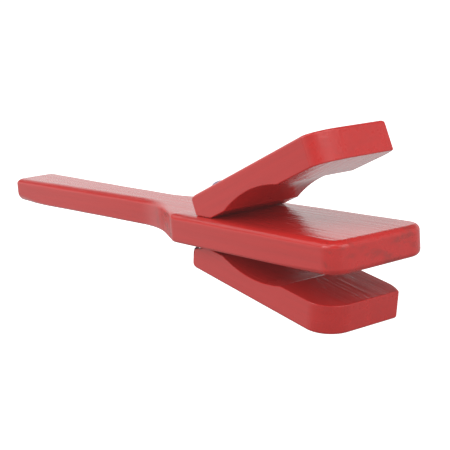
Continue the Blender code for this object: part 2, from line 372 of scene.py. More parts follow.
def paddle_outline():
    """Half of the outline on the +Y side, front to tail, then its mirror image."""
    half_board = BOARD_WIDTH / 2
    half_waist = WAIST_WIDTH / 2
    half_tail = TAIL_WIDTH / 2
    corner = BOARD_CORNER_RADIUS
    half = arc(PADDLE_HIGH.x - corner, half_board - corner, corner, 0.0, math.pi / 2)
    shoulder = shoulder_points(half_board)
    side_start = half[-1][0]
    for step in range(1, ARC_STEPS):
        share = step / ARC_STEPS
        half.append((side_start + (shoulder[0][0] - side_start) * share, half_board))
    half += shoulder
    flare_top = half_waist + FLARE_RADIUS * (1.0 - math.cos(FLARE_ANGLE))
    flare_x = -BOARD_LENGTH - (half_board - flare_top) / math.tan(FLARE_ANGLE)
    waist_x = flare_x - FLARE_RADIUS * math.sin(FLARE_ANGLE)
    flare_start = Vector(half[-1])
    flare_end = Vector((flare_x, flare_top))
    for step in range(1, ARC_STEPS // 2):
        half.append(tuple(flare_start.lerp(flare_end, 2 * step / ARC_STEPS)))
    centre_y = half_waist + FLARE_RADIUS
    half += arc(waist_x, centre_y, FLARE_RADIUS, FLARE_ANGLE - math.pi / 2, -math.pi / 2)
    tail_start = PADDLE_LOW.x + TAIL_CORNER_RADIUS
    for step in range(1, ARC_STEPS):
        share = step / ARC_STEPS
        swell = (half_tail - half_waist) * share**TAIL_SWELL_POWER
        half.append((waist_x + (tail_start - waist_x) * share, half_waist + swell))
    corner = TAIL_CORNER_RADIUS
    half += arc(tail_start, half_tail - corner, corner, math.pi / 2, math.pi)
    return half + [(x, -y) for x, y in reversed(half)]


def top_rim_depth(place):
    """How far the top rim's round reaches down the side. It is tighter behind the shoulder."""
    behind = -place.x - BOARD_LENGTH
    entering = min(1.0, max(0.0, (behind + SHOULDER_EASE) / (2 * SHOULDER_EASE)))
    entering = entering**2 * (3 - 2 * entering)
    leaving = math.exp(-((max(0.0, behind - SHOULDER_EASE) / SHOULDER_ROUNDOVER_REACH) ** 2))
    depth = PADDLE_ROUNDOVER * (1 - SHOULDER_ROUNDOVER_SHARE * entering * leaving)
    return depth * (1 + SANDING_WAVER * waver(place))


def top_rim_reach(place):
    """How far the top rim's round reaches in. The near side is sanded further in than down."""
    near = 0.5 - place.y / BOARD_WIDTH
    near = near**2 * (3 - 2 * near)
    return top_rim_depth(place) * (1 + (NEAR_RIM_SPREAD - 1) * near)


def bottom_rim_width(place):
    """The bottom rim is rounder at the front and the tail."""
    front = math.exp(-(((PADDLE_HIGH.x - place.x) / END_ROUNDING_REACH) ** 2))
    tail = math.exp(-(((place.x - PADDLE_LOW.x) / END_ROUNDING_REACH) ** 2))
    width = BOTTOM_ROUNDOVER + (PADDLE_ROUNDOVER - BOTTOM_ROUNDOVER) * front
    width += (TAIL_BOTTOM_ROUNDOVER - BOTTOM_ROUNDOVER) * tail
    return min(width * (1 + SANDING_WAVER * waver(place)), TAIL_BOTTOM_LIMIT)


def inward_normals(outline):
    """Unit vectors into a closed anticlockwise outline, one for each of its points."""
    normals = []
    for index in range(len(outline)):
        before = Vector(outline[index - 1])
        after = Vector(outline[(index + 1) % len(outline)])
        along = (after - before).normalized()
        normals.append(Vector((-along.y, along.x)))
    return normals


def paddle_rings():
    """The outline carried up the paddle: the bottom rim, the side and the top rim."""
    outline = [Vector(point) for point in paddle_outline()]
    normals = inward_normals(outline)
    bottom, top = [], []
    for step in range(RIM_STEPS + 1):
        angle = math.pi / 2 * step / RIM_STEPS
        low, high = [], []
        for place, inward in zip(outline, normals):
            width = bottom_rim_width(place)
            point = place + inward * (width * (1 - math.sin(angle)))
            low.append((point.x, point.y, width * (1 - math.cos(angle)) - HALF_THICKNESS))
            depth = top_rim_depth(place)
            point = place + inward * (top_rim_reach(place) * (1 - math.cos(angle)))
            high.append((point.x, point.y, HALF_THICKNESS - depth * (1 - math.sin(angle))))
        bottom.append(low)
        top.append(high)
    return bottom + top


def build_paddle(pieces, cutters):
    paddle = skin("paddle_lacquered", paddle_rings(), pieces)
    for side, label in ((-1, "near"), (1, "far")):
        centre = (HOLE_X, side * HOLE_Y, 0.0)
        name = "paddle_hole_" + label
        cut(paddle, hole_cutter(name, -HALF_THICKNESS, HALF_THICKNESS, centre, cutters))
    settle(paddle)
    finish_shading(paddle)
    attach(paddle, "paddle_body")
    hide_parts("paddle")
    return paddle


class Clapper:
    """Where a clapper stands: its pivot frame, and its size in that frame."""

    def __init__(self, node, joint_name, side, settling, heel_rounding, near_corner):
        joint = JOINTS[joint_name]
        low, high = (math.radians(value) for value in joint["range_deg"])
        self.node = node
        self.body = joint["child"]
        self.side = side
        self.heel_angle = high - low
        self.opening = high if side > 0 else -low
        self.heel_rounding = heel_rounding
        self.near_corner = near_corner
        # The heel is a little thicker than the frame's, so that it sits down on the board.
        self.pivot = Vector(joint["pos_m"]) - Vector((0.0, 0.0, side * settling))
        turn = Euler((0.0, -self.opening, 0.0)) if side > 0 else Euler((math.pi, self.opening, 0.0))
        self.matrix = Matrix.Translation(self.pivot) @ turn.to_matrix().to_4x4()
        back = self.matrix.inverted()
        places = [back @ vertex.co for vertex in frame["nodes"][node].data.vertices]
        self.rear = min(place.x for place in places)
        self.front = max(place.x for place in places)
        self.half_width = max(place.y for place in places)
        self.thickness = max(place.z for place in places)

    def place(self, x, y, z):
        """A point of the clapper's own frame, in the row frame."""
        return self.matrix @ Vector((x, y, z))


def clapper_outline(clapper):
    """The near front corner is well rounded; the far one curves in a little and ends at an edge."""
    half = clapper.half_width
    reach = CLAPPER_FAR_REACH
    ease_radius = (reach**2 + CLAPPER_FAR_INSET**2) / (2 * CLAPPER_FAR_INSET)
    ease_start = math.pi / 2 - math.asin(reach / ease_radius)
    centre = (clapper.front - reach, half - ease_radius)
    far = arc(*centre, ease_radius, ease_start, math.pi / 2, FAR_CORNER_STEPS)
    along, across = clapper.near_corner
    circle = arc(0.0, 0.0, 1.0, 0.0, math.pi / 2)
    near = [(clapper.front - along * (1 - x), half - across * (1 - y)) for x, y in circle]
    small = CLAPPER_REAR_RADIUS
    rear = arc(clapper.rear + small, half - small, small, math.pi / 2, math.pi, SMALL_ARC_STEPS)
    first = [(x, clapper.side * y) for x, y in far + rear]
    second = [(x, -clapper.side * y) for x, y in near + rear]
    return first + second[::-1]


def scoop_outline(clapper):
    """The hollow across the inner face: soft at the rear, a crisp edge at the front."""
    half = SCOOP_HALF_LENGTH
    radius = (half**2 + SCOOP_DEPTH**2) / (2 * SCOOP_DEPTH)
    middle_x = clapper.rear + SCOOP_FROM_REAR
    middle_z = SCOOP_DEPTH - radius
    front_angle = math.asin(half / radius)
    fillet = SCOOP_REAR_FILLET
    reach = math.sqrt((radius + fillet) ** 2 - (fillet + middle_z) ** 2)
    rear_angle = math.asin(reach / (radius + fillet))
    top = math.pi / 2
    hollow = arc(middle_x, middle_z, radius, top - front_angle, top + rear_angle, 2 * ARC_STEPS)
    hollow += arc(middle_x - reach, fillet, fillet, rear_angle - top, -top)[1:]
    rear_x = hollow[-1][0]
    front_x = hollow[0][0]
    return hollow + [(rear_x, -CUT_MARGIN), (front_x, -CUT_MARGIN)]


def hole_floor(clapper):
    """Height of the heel's surface at the cord holes, in the clapper's frame."""
    return HOLE_BEHIND_PIVOT * math.tan(clapper.heel_angle)


def heel_outline(clapper):
    """The wedge that leaves the heel slanted behind the pivot line."""
    reach = -clapper.rear + CUT_MARGIN
    drop = reach * math.tan(clapper.heel_angle)
    return [(0.0, 0.0), (-reach, drop), (-reach, -CUT_MARGIN), (0.0, -CUT_MARGIN)]


def rear_rounding_outline(clapper):
    """What is cut away to round the top of the rear end."""
    radius = CLAPPER_REAR_ROUNDOVER
    low = clapper.thickness - radius
    edge = arc(clapper.rear + radius, low, radius / math.cos(CROSSING_ANGLE), math.pi / 2, math.pi)
    corner_x = clapper.rear - CUT_MARGIN
    corner_z = clapper.thickness + CUT_MARGIN
    return edge + [(corner_x, low), (corner_x, corner_z), (clapper.rear + radius, corner_z)]


def heel_rounding_outline(clapper):
    """What is cut away to round the edge between the heel and the rear end."""
    radius = clapper.heel_rounding
    slant = clapper.heel_angle
    corner_z = -clapper.rear * math.tan(slant)
    centre_x = clapper.rear + radius
    centre_z = corner_z - radius * math.tan(slant) + radius / math.cos(slant)
    edge = arc(centre_x, centre_z, radius / math.cos(CROSSING_ANGLE), math.pi, 1.5 * math.pi - slant)
    last_x, last_z = edge[-1]
    outside_x = clapper.rear - CUT_MARGIN
    outside_z = last_z - CUT_MARGIN
    return [(outside_x, centre_z)] + edge + [(last_x, outside_z), (outside_x, outside_z)]


def soften_inner_edges(target, clapper):
    """A small round on the edges of the inner face and the heel, but not on the scoop's front edge."""
    scoop_front = clapper.rear + SCOOP_FROM_REAR + SCOOP_HALF_LENGTH
    highest = clapper.thickness - 2 * CLAPPER_ROUNDOVER
    shape = bmesh.new()
    shape.from_mesh(target.data)
    bmesh.ops.remove_doubles(shape, verts=shape.verts, dist=5 * SAME_PLACE)
    bmesh.ops.dissolve_limit(
        shape, angle_limit=FLAT_ANGLE, verts=shape.verts, edges=shape.edges, delimit={"NORMAL"}
    )
    shape.to_mesh(target.data)

    def is_softened(edge):
        start, end = (vertex.co for vertex in edge.verts)
        if not edge.is_manifold or edge.calc_face_angle() <= SOFTENED_ANGLE:
            return False
        if (start.z + end.z) / 2 >= highest or abs(start.z - end.z) >= STEEP_EDGE_RISE:
            return False
        return any(abs(place.x - scoop_front) >= SAME_EDGE_LINE for place in (start, end))

    softened = {edge.index for edge in shape.edges if is_softened(edge)}
    shape.free()
    weigh_edges(target.data, lambda edge, start, end: 1.0 if edge.index in softened else 0.0)
    add_bevel(target, CLAPPER_INNER_SOFTENING, SOFTENING_SEGMENTS)


def build_clapper(name, clapper, pieces, cutters):
    made = slab(name, clapper_outline(clapper), 0.0, clapper.thickness, pieces)
    top = clapper.thickness

    def outer_rim_width(place):
        """The outer rim only; it is rounder where the far front corner is worn."""
        if place.z < top / 2:
            return 0.0
        away = math.hypot(place.x - clapper.front, place.y - clapper.side * clapper.half_width)
        worn = math.exp(-((away / CLAPPER_CORNER_REACH) ** 2))
        return CLAPPER_ROUNDOVER + (CLAPPER_CORNER_ROUNDOVER - CLAPPER_ROUNDOVER) * worn

    round_rims(made, outer_rim_width)
    across = Matrix.Rotation(math.pi / 2, 4, "X")
    reach = clapper.half_width + CUT_MARGIN
    outlines = {
        "scoop": scoop_outline(clapper),
        "heel": heel_outline(clapper),
        "rear": rear_rounding_outline(clapper),
        "heel_edge": heel_rounding_outline(clapper),
    }
    for label, outline in outlines.items():
        cut(made, slab(name + "_" + label, outline, -reach, reach, cutters, across))
    settle(made)
    soften_inner_edges(made, clapper)
    settle(made)
    for side, label in ((-1, "near"), (1, "far")):
        centre = (-HOLE_BEHIND_PIVOT, side * HOLE_Y, 0.0)
        cut(made, hole_cutter(name + "_hole_" + label, hole_floor(clapper), top, centre, cutters))
    settle(made)
    made.matrix_world = clapper.matrix
    finish_shading(made)
    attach(made, clapper.body)
    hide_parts(clapper.node)
    return made


# ---------------------------------------------------------------- cord


def between_points(before, start, end, after, share):
    """A place on the smooth line from start to end, given the points before and after them."""
    return 0.5 * (
        2 * start
        + (end - before) * share
        + (2 * before - 5 * start + 4 * end - after) * share**2
        + (3 * start - before - 3 * end + after) * share**3
    )


def smooth_path(points):
    """A smooth line through the points, cut into even steps."""
    ends = [points[0] * 2 - points[1]] + points + [points[-1] * 2 - points[-2]]
    fine = []
    for nearby in zip(ends, ends[1:], ends[2:], ends[3:]):
        fine += [between_points(*nearby, step / PATH_SUBSTEPS) for step in range(PATH_SUBSTEPS)]
    fine.append(points[-1])
    return evenly_spaced(fine)


def evenly_spaced(fine):
    """The same line as a finely cut one, in even steps of about the cord's step."""
    total = sum((end - start).length for start, end in zip(fine, fine[1:]))
    count = max(4, round(total / CORD_STEP))
    path = [fine[0]]
    walked = 0.0
    target = total / count
    for start, end in zip(fine, fine[1:]):
        length = (end - start).length
        while walked + length >= target - 1e-9 and len(path) < count:
            path.append(start + (end - start) * ((target - walked) / length))
            target += total / count
        walked += length
    path.append(fine[-1])
    return path


def braid(turn, along):
    """Height between 0 and 1 of a round braid's surface, and which of its two hands is on top."""
    right = BRAID_STRANDS * turn + along / BRAID_PITCH
    left = BRAID_STRANDS * turn - along / BRAID_PITCH
    right_cell, left_cell = math.floor(right), math.floor(left)
    right_hump = math.sin(math.pi * (right - right_cell))
    left_hump = math.sin(math.pi * (left - left_cell))
    over = 1.0 if (right_cell + left_cell) % 2 == 0 else -1.0
    swing = BRAID_WEAVE * over * right_hump * left_hump
    right_height = (1 - BRAID_WEAVE) * right_hump**BRAID_YARN_ROUNDNESS + swing
    left_height = (1 - BRAID_WEAVE) * left_hump**BRAID_YARN_ROUNDNESS - swing
    if right_height > left_height:
        return max(0.0, right_height), 0.0
    return max(0.0, left_height), 1.0


def path_tangents(path):
    """The direction of a path at each of its points."""
    befores = path[:1] + path[:-1]
    afters = path[1:] + path[-1:]
    return [(after - before).normalized() for before, after in zip(befores, afters)]


def braided_rings(path, tangents, radius, end_radius):
    """The braid's surface round a path: rings of (point, braid height, hand)."""
    side = tangents[0].cross(Vector((1.0, 0.0, 0.0)))
    if side.length < 0.1:
        side = tangents[0].cross(Vector((0.0, 1.0, 0.0)))
    side.normalize()
    rings = []
    walked = 0.0
    for index, (place, tangent) in enumerate(zip(path, tangents)):
        if index:
            walked += (place - path[index - 1]).length
        side = (side - tangent * side.dot(tangent)).normalized()
        other = tangent.cross(side)
        width = radius + (end_radius - radius) * index / (len(path) - 1)
        ring = []
        for corner in range(CORD_SIDES):
            turn = corner / CORD_SIDES
            angle = 2 * math.pi * turn
            height, hand = braid(turn, walked)
            reach = width * (1 - BRAID_RELIEF + BRAID_RELIEF * height)
            point = place + (side * math.cos(angle) + other * math.sin(angle)) * reach
            ring.append((point, height, hand))
        rings.append(ring)
    return rings


def cord_dome(place, outward, ring, height):
    """Rings that close an end, from the first ring to just short of the pole."""
    shrunk = []
    for step in range(1, CORD_CAP_STEPS):
        angle = math.pi / 2 * step / CORD_CAP_STEPS
        share = math.cos(angle)
        lift = outward * (height * math.sin(angle))
        shrunk.append([
            (place + (point - place) * share + lift, braid_height * share, hand)
            for point, braid_height, hand in ring
        ])
    return shrunk


def braided_mesh(name, rings):
    """A closed mesh through rings of (point, braid height, hand); the last two become attributes."""
    shape = bmesh.new()
    height_layer = shape.verts.layers.float.new("braid_height")
    hand_layer = shape.verts.layers.float.new("braid_hand")
    rows = []
    for ring in rings:
        row = []
        for point, height, hand in ring:
            vertex = shape.verts.new(point)
            vertex[height_layer] = height
            vertex[hand_layer] = hand
            row.append(vertex)
        rows.append(row)
    for low, high in zip(rows, rows[1:]):
        for corner in range(CORD_SIDES):
            following = (corner + 1) % CORD_SIDES
            shape.faces.new((low[corner], low[following], high[following], high[corner]))
    for row in (rows[0], rows[-1]):
        pole = shape.verts.new(sum((vertex.co for vertex in row), Vector()) / CORD_SIDES)
        for corner in range(CORD_SIDES):
            shape.faces.new((row[corner], row[(corner + 1) % CORD_SIDES], pole))
    bmesh.ops.recalc_face_normals(shape, faces=shape.faces)
    mesh = bpy.data.meshes.new(name)
    shape.to_mesh(mesh)
    shape.free()
    mesh.shade_smooth()
    return mesh


def cord_piece(name, points, radius, collection, end_radius=None):
    """A braided cord along the points, with its relief in the mesh and its ends domed as if melted."""
    path = smooth_path(points)
    tangents = path_tangents(path)
    rings = braided_rings(path, tangents, radius, radius if end_radius is None else end_radius)
    cap_height = radius * CORD_CAP_HEIGHT
    start_dome = cord_dome(path[0], -tangents[0], rings[0], cap_height)
    end_dome = cord_dome(path[-1], tangents[-1], rings[-1], cap_height)
    made = link_mesh(name, braided_mesh(name, start_dome[::-1] + rings + end_dome), collection)
    return made


def build_upper_loop(upper, pieces):
    """Up through one hole, across the outer face and down through the other."""
    x = -HOLE_BEHIND_PIVOT
    high = upper.thickness + CORD_LIFT + CORD_RADIUS
    low = hole_floor(upper) + 1.2 * CORD_RADIUS
    bend = CORD_BEND
    half = [
        (x, HOLE_Y, low),
        (x, HOLE_Y, (low + high - bend) / 2),
        (x + 0.2 * CORD_LEAN, HOLE_Y, high - bend),
        (x + 0.7 * CORD_LEAN, HOLE_Y - 0.3 * bend, high - 0.3 * bend),
        (x + CORD_LEAN, HOLE_Y - bend, high),
        (x + CORD_LEAN, HOLE_Y / 2, high),
    ]
    path = [(along, -y, z) for along, y, z in half] + half[::-1]
    points = [upper.place(*place) for place in path]
    loop = cord_piece("cord_over_upper_clapper", points, CORD_RADIUS, pieces)
    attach(loop, upper.body)
    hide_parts("cord_upper_loop")
    return loop


def build_span(name, clapper, side, pieces):
    """The stretch of cord from the middle of the board to the inside of a clapper's hole."""
    y = side * HOLE_Y
    low = hole_floor(clapper)
    board = Vector((HOLE_X, y, 0.0))
    face = Vector((HOLE_X, y, clapper.side * HALF_THICKNESS))
    entry = clapper.place(-HOLE_BEHIND_PIVOT, clapper.side * y, low)
    inside = clapper.place(-HOLE_BEHIND_PIVOT, clapper.side * y, low + 2.2 * CORD_RADIUS)
    middle = (face + entry) / 2
    points = [board, board + (face - board) * 0.6, middle, entry + (inside - entry) * 0.55, inside]
    span = cord_piece(name, points, SPAN_RADIUS, pieces)
    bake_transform(span)
    return span


def knot_points(lower, sign):
    """One strand of a reef knot under the lower clapper, in its frame: out of a hole, round and back."""
    r = KNOT_STRAND
    h = 1.05 * r
    a = 2.5 * r
    base = lower.thickness + CORD_LIFT + 1.9 * r
    strand = [
        (-2.1 * a, 1.2 * r, -0.6 * h),
        (-1.0 * a, 1.1 * r, h),
        (0.0, 2.0 * r, -h),
        (0.75 * a, 2.75 * r, 0.3 * h),
        (1.35 * a, 1.3 * r, h),
        (1.35 * a, -1.3 * r, h),
        (0.75 * a, -2.75 * r, 0.3 * h),
        (0.0, -2.0 * r, -h),
        (-1.0 * a, -1.1 * r, h),
        (-1.9 * a, -1.7 * r, 0.2 * h),
    ]
    x = -HOLE_BEHIND_PIVOT
    return [(x + across, sign * along, base + sign * lift) for along, across, lift in strand]


def near_tail(lower):
    """The near tail curls up behind the heel, in the lower clapper's frame."""
    steps = [(0.6, -1.7, 2.4), (-1.6, -0.3, 1.6), (-3.2, 0.9, -1.2), (-3.3, 2.0, -3.8), (-1.6, 3.8, -4.8)]
    return [(lower.rear + x * MM, HOLE_Y + y * MM, lower.thickness + z * MM) for x, y, z in steps]


def far_tail(start):
    """The far tail runs off behind the knot, in the lower clapper's frame."""
    steps = [(-1.8, -1.6, 0.1), (-3.6, -3.6, -1.2)]
    return [(start[0] + x * MM, start[1] + y * MM, start[2] + z * MM) for x, y, z in steps]


def build_knot_strand(name, lower, near, pieces):
    """A cord end: through a hole of the lower clapper, along its outer face, through the knot, a tail."""
    sign = -1.0 if near else 1.0
    x = -HOLE_BEHIND_PIVOT
    y = -sign * HOLE_Y
    top = lower.thickness
    low = hole_floor(lower) + 1.2 * CORD_RADIUS
    entry = [
        (x, y, low),
        (x, y, (low + top) / 2),
        (x, y, top - 0.2 * CORD_RADIUS),
        (x + 0.3 * KNOT_STRAND, y + sign * 0.8 * CORD_RADIUS, top + CORD_LIFT + 0.75 * CORD_RADIUS),
        (x + 0.8 * KNOT_STRAND, y + sign * 2.1 * CORD_RADIUS, top + CORD_LIFT + 0.95 * CORD_RADIUS),
    ]
    knot = knot_points(lower, sign)
    tail = near_tail(lower) if near else far_tail(knot[-1])
    points = [lower.place(*place) for place in entry + knot + tail]
    made = cord_piece(name, points, KNOT_ENTRY_RADIUS, pieces, end_radius=KNOT_STRAND_RADIUS)
    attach(made, lower.body)
    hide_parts("cord_lower_loop")
    return made


# ---------------------------------------------------------------- materials


def feed(tree, socket, value):
    """Set a socket, or link it when the value comes from another node."""
    if isinstance(value, bpy.types.NodeSocket):
        tree.links.new(value, socket)
    else:
        socket.default_value = value


def add_node(tree, kind, inputs=None, **settings):
    made = tree.nodes.new(kind)
    for key, value in settings.items():
        setattr(made, key, value)
    for key, value in (inputs or {}).items():
        feed(tree, made.inputs[key], value)
    return made


def maths(tree, operation, *values, clamp=False):
    inputs = dict(enumerate(values))
    return add_node(tree, "ShaderNodeMath", inputs, operation=operation, use_clamp=clamp).outputs[0]


def times(tree, first, second, clamp=False):
    return maths(tree, "MULTIPLY", first, second, clamp=clamp)


def plus(tree, first, second):
    return maths(tree, "ADD", first, second)


def minus(tree, first, second):
    return maths(tree, "SUBTRACT", first, second)


def centred(tree, field, height):
    """A noise field made to swing about zero, with its whole range scaled to a height."""
    return times(tree, minus(tree, field, 0.5), height)


def remap(tree, value, low, high, to_low=0.0, to_high=1.0):
    made = add_node(
        tree,
        "ShaderNodeMapRange",
        {"Value": value, "From Min": low, "From Max": high, "To Min": to_low, "To Max": to_high},
        interpolation_type="SMOOTHSTEP",
    )
    return made.outputs["Result"]


def noise(tree, vector, detail=2.0, roughness=0.5, distortion=0.0):
    inputs = {
        "Vector": vector,
        "Scale": 1.0,
        "Detail": detail,
        "Roughness": roughness,
        "Distortion": distortion,
    }
    return add_node(tree, "ShaderNodeTexNoise", inputs, noise_dimensions="3D").outputs["Fac"]


def stretch(tree, vector, per_mm, offset=(0.0, 0.0, 0.0)):
    """Scale a position in metres so that one unit of the texture is 1 / per_mm millimetres."""
    inputs = {"Vector": vector, "Scale": tuple(value / MM for value in per_mm), "Location": offset}
    return add_node(tree, "ShaderNodeMapping", inputs).outputs["Vector"]


def mix_colour(tree, share, first, second):
    made = add_node(tree, "ShaderNodeMix", data_type="RGBA", blend_type="MIX")
    sockets = {socket.name: socket for socket in made.inputs if socket.enabled}
    for name, value in (("Factor", share), ("A", first), ("B", second)):
        feed(tree, sockets[name], value)
    return next(socket for socket in made.outputs if socket.enabled)


def bump(tree, height):
    """Normals of a relief whose height is in millimetres."""
    inputs = {"Height": height, "Distance": MM, "Strength": 1.0}
    return add_node(tree, "ShaderNodeBump", inputs).outputs["Normal"]


def new_material(name):
    """A material, its node tree and its shader."""
    made = bpy.data.materials.new(name)
    made.use_nodes = True
    return made, made.node_tree, made.node_tree.nodes["Principled BSDF"]


def set_looks(tree, shader, looks):
    for key, value in looks.items():
        feed(tree, shader.inputs[key], value)


def tinted(colour, red, green, blue):
    """A colour with its three parts multiplied."""
    return (colour[0] * red, colour[1] * green, colour[2] * blue, 1.0)


class Faces:
    """Shares between 0 and 1 that tell the faces of a wooden piece apart, and the place along it."""

    def __init__(self, tree, place, normal, far_gloss):
        facing = add_node(tree, "ShaderNodeSeparateXYZ", {"Vector": normal}).outputs
        spot = add_node(tree, "ShaderNodeSeparateXYZ", {"Vector": place}).outputs
        self.along = spot["X"]
        self.end_grain = remap(tree, maths(tree, "ABSOLUTE", facing["X"]), 0.12, 0.38)
        self.side = remap(tree, maths(tree, "ABSOLUTE", facing["Y"]), 0.6, 0.95)
        self.flat = remap(tree, maths(tree, "ABSOLUTE", facing["Z"]), 0.5, 0.95)
        self.behind_board = remap(tree, self.along, FLARE_DULL_FROM, FLARE_DULL_TO)
        # The hollow of a clapper faces down, above the level of the inner face.
        above_face = remap(tree, spot["Z"], 0.1 * MM, 0.5 * MM)
        hollow = times(tree, above_face, remap(tree, facing["Z"], -0.3, -0.7))
        near_share = remap(tree, spot["Y"], -4.0 * MM, 6.0 * MM, 1.0, 1.0 - far_gloss)
        self.hollow = times(tree, hollow, near_share)
        # The grain shows less on end grain and on the long sides.
        grain = minus(tree, 1.0, times(tree, self.end_grain, 0.7))
        self.grain = minus(tree, grain, times(tree, self.side, 0.4))


class Grain:
    """The noise of close-grained wood: streaks and pores run along X, and wander a little."""

    def __init__(self, tree, place, shift, flat):
        wander = noise(tree, stretch(tree, place, (0.012, 0.05, 0.05), shift), detail=1.0)
        wander = centred(tree, wander, GRAIN_WANDER)
        sideways = add_node(tree, "ShaderNodeCombineXYZ", {"Y": wander, "Z": wander}).outputs[0]
        inputs = {0: place, 1: sideways}
        bent = add_node(tree, "ShaderNodeVectorMath", inputs, operation="ADD").outputs["Vector"]

        def along_grain(per_mm, **settings):
            return noise(tree, stretch(tree, bent, per_mm, shift), **settings)

        self.streaks = along_grain((0.035, 1.5, 1.5), detail=4.0, roughness=0.6)
        self.fine = along_grain((0.09, 4.5, 4.5), detail=3.0, roughness=0.6)
        self.bands = along_grain((0.012, 0.33, 0.33), detail=2.0)
        self.ridges = along_grain((0.022, 0.62, 0.62), detail=3.0, roughness=0.55)
        self.blotches = along_grain((0.2, 0.15, 0.32), detail=3.0, roughness=0.6)
        self.peel = noise(tree, stretch(tree, place, (0.5, 0.6, 0.6), shift), detail=1.0)
        pores = remap(tree, along_grain((0.16, 3.6, 3.6), detail=2.0, roughness=0.4), 0.66, 0.72)
        pore_zone = remap(tree, along_grain((0.04, 0.2, 0.2), detail=1.0), 0.45, 0.6)
        pores = times(tree, pores, pore_zone, clamp=True)
        # Nearly all the pores open on the flat faces.
        self.pores = times(tree, pores, plus(tree, times(tree, flat, 0.85), 0.15))


def lacquer_colour(tree, grain, faces, blotch):
    """Opaque red, darker along the streaks and in the pores, brown in blotches on the end grain."""
    deep = tinted(LACQUER_RED, 0.72, 0.6, 0.6)
    brown = tinted(LACQUER_RED, 0.5, 1.3, 1.2)
    streak_share = times(tree, remap(tree, grain.streaks, 0.42, 0.75, 0.0, 0.35), faces.grain)
    colour = mix_colour(tree, streak_share, LACQUER_RED, deep)
    colour = mix_colour(tree, remap(tree, grain.bands, 0.35, 0.7, 0.0, 0.22), colour, deep)
    colour = mix_colour(tree, times(tree, grain.pores, 0.6), colour, PORE_RED)
    # The flare behind the board was cut by hand, so it is blotchier than the square ends.
    flare_blotch = plus(tree, 1.0, times(tree, faces.behind_board, 0.4))
    end_blotch = times(tree, faces.end_grain, remap(tree, grain.blotches, 0.45, 0.72, 0.0, blotch))
    return mix_colour(tree, times(tree, end_blotch, flare_blotch, clamp=True), colour, brown)


def wood_relief(tree, grain, faces):
    """Height in millimetres of the wood under the lacquer."""
    relief = plus(tree, centred(tree, grain.streaks, 0.034), centred(tree, grain.fine, 0.010))
    relief = minus(tree, relief, times(tree, grain.pores, 0.012))
    # The handle is sanded smoother than the board.
    ridge_height = remap(tree, faces.along, -150.0 * MM, -95.0 * MM, 0.03, 0.09)
    relief = plus(tree, relief, centred(tree, grain.ridges, ridge_height))
    relief = times(tree, relief, faces.grain)
    return plus(tree, relief, centred(tree, grain.bands, 0.08))


def coat_weight(tree, faces):
    """The lacquer's gloss is thin where the wood soaked it up: end grain, the flare and the hollow."""
    soaked = times(tree, faces.end_grain, plus(tree, 0.2, times(tree, faces.behind_board, 0.35)))
    coat = minus(tree, remap(tree, faces.behind_board, 0.0, 1.0, 1.0, 0.93), soaked)
    return times(tree, coat, minus(tree, 1.0, times(tree, faces.hollow, 0.6)))


def coat_roughness(tree, grain, faces):
    dull = plus(tree, times(tree, faces.end_grain, 0.2), times(tree, faces.hollow, 0.2))
    return plus(tree, remap(tree, grain.bands, 0.3, 0.7, 0.06, 0.13), dull)


def lacquered_wood(name, shift, blotch, far_gloss=0.0):
    """Red lacquer over wood. shift gives each board its own grain, blotch is how blotchy its end
    grain looks, and far_gloss is how much more of its gloss the far side of the hollow keeps."""
    made, tree, shader = new_material(name)
    texture = add_node(tree, "ShaderNodeTexCoord").outputs
    faces = Faces(tree, texture["Object"], texture["Normal"], far_gloss)
    grain = Grain(tree, texture["Object"], shift, faces.flat)
    relief = wood_relief(tree, grain, faces)
    looks = {
        "Base Color": lacquer_colour(tree, grain, faces, blotch),
        "Roughness": 0.6,
        "Specular IOR Level": 0.12,
        "Normal": bump(tree, relief),
        "Coat Weight": coat_weight(tree, faces),
        "Coat Roughness": coat_roughness(tree, grain, faces),
        "Coat IOR": 1.5,
        "Coat Normal": bump(tree, plus(tree, relief, times(tree, grain.peel, 0.02))),
    }
    set_looks(tree, shader, looks)
    made.diffuse_color = LACQUER_RED
    return made


def elastic_cord(name):
    """A braided textile cord: two hands of yarn in slightly different purples, with painted shade
    darkening the crevices.
    """
    made, tree, shader = new_material(name)
    place = add_node(tree, "ShaderNodeTexCoord").outputs["Object"]
    height = add_node(tree, "ShaderNodeAttribute", attribute_name="braid_height").outputs["Fac"]
    hand = add_node(tree, "ShaderNodeAttribute", attribute_name="braid_hand").outputs["Fac"]
    fibres = noise(tree, stretch(tree, place, (6.0, 6.0, 6.0)), detail=3.0, roughness=0.7)
    fade = noise(tree, stretch(tree, place, (0.5, 0.5, 0.5)), detail=2.0)
    colour = mix_colour(tree, hand, YARN_FIRST, YARN_SECOND)
    colour = mix_colour(tree, remap(tree, fibres, 0.35, 0.7, 0.0, 0.45), colour, YARN_FIBRE)
    colour = mix_colour(tree, remap(tree, fade, 0.4, 0.7, 0.0, 0.3), colour, YARN_FADED)
    # Painted shade: the yarn darkens down into the braid's crevices, where the strands shade each other.
    colour = mix_colour(tree, remap(tree, height, 0.1, 0.7, 0.6, 0.0), colour, YARN_CREVICE_PAINTED_SHADE)
    looks = {
        "Base Color": colour,
        "Roughness": 0.82,
        "Specular IOR Level": 0.25,
        "Normal": bump(tree, times(tree, fibres, 0.06)),
        "Sheen Weight": 0.35,
        "Sheen Roughness": 0.5,
    }
    set_looks(tree, shader, looks)
    made.diffuse_color = YARN_FROM_AFAR
    return made


def dress(target, material):
    target.data.materials.clear()
    target.data.materials.append(material)


# ---------------------------------------------------------------- studio


def distance_from_object(tree):
    """How far a point of the floor is from the middle of the object, along the floor."""
    place = add_node(tree, "ShaderNodeNewGeometry").outputs["Position"]
    inputs = {0: place, 1: (CAMERA_TARGET.x, 0.0, FLOOR_HEIGHT)}
    return add_node(tree, "ShaderNodeVectorMath", inputs, operation="DISTANCE").outputs["Value"]


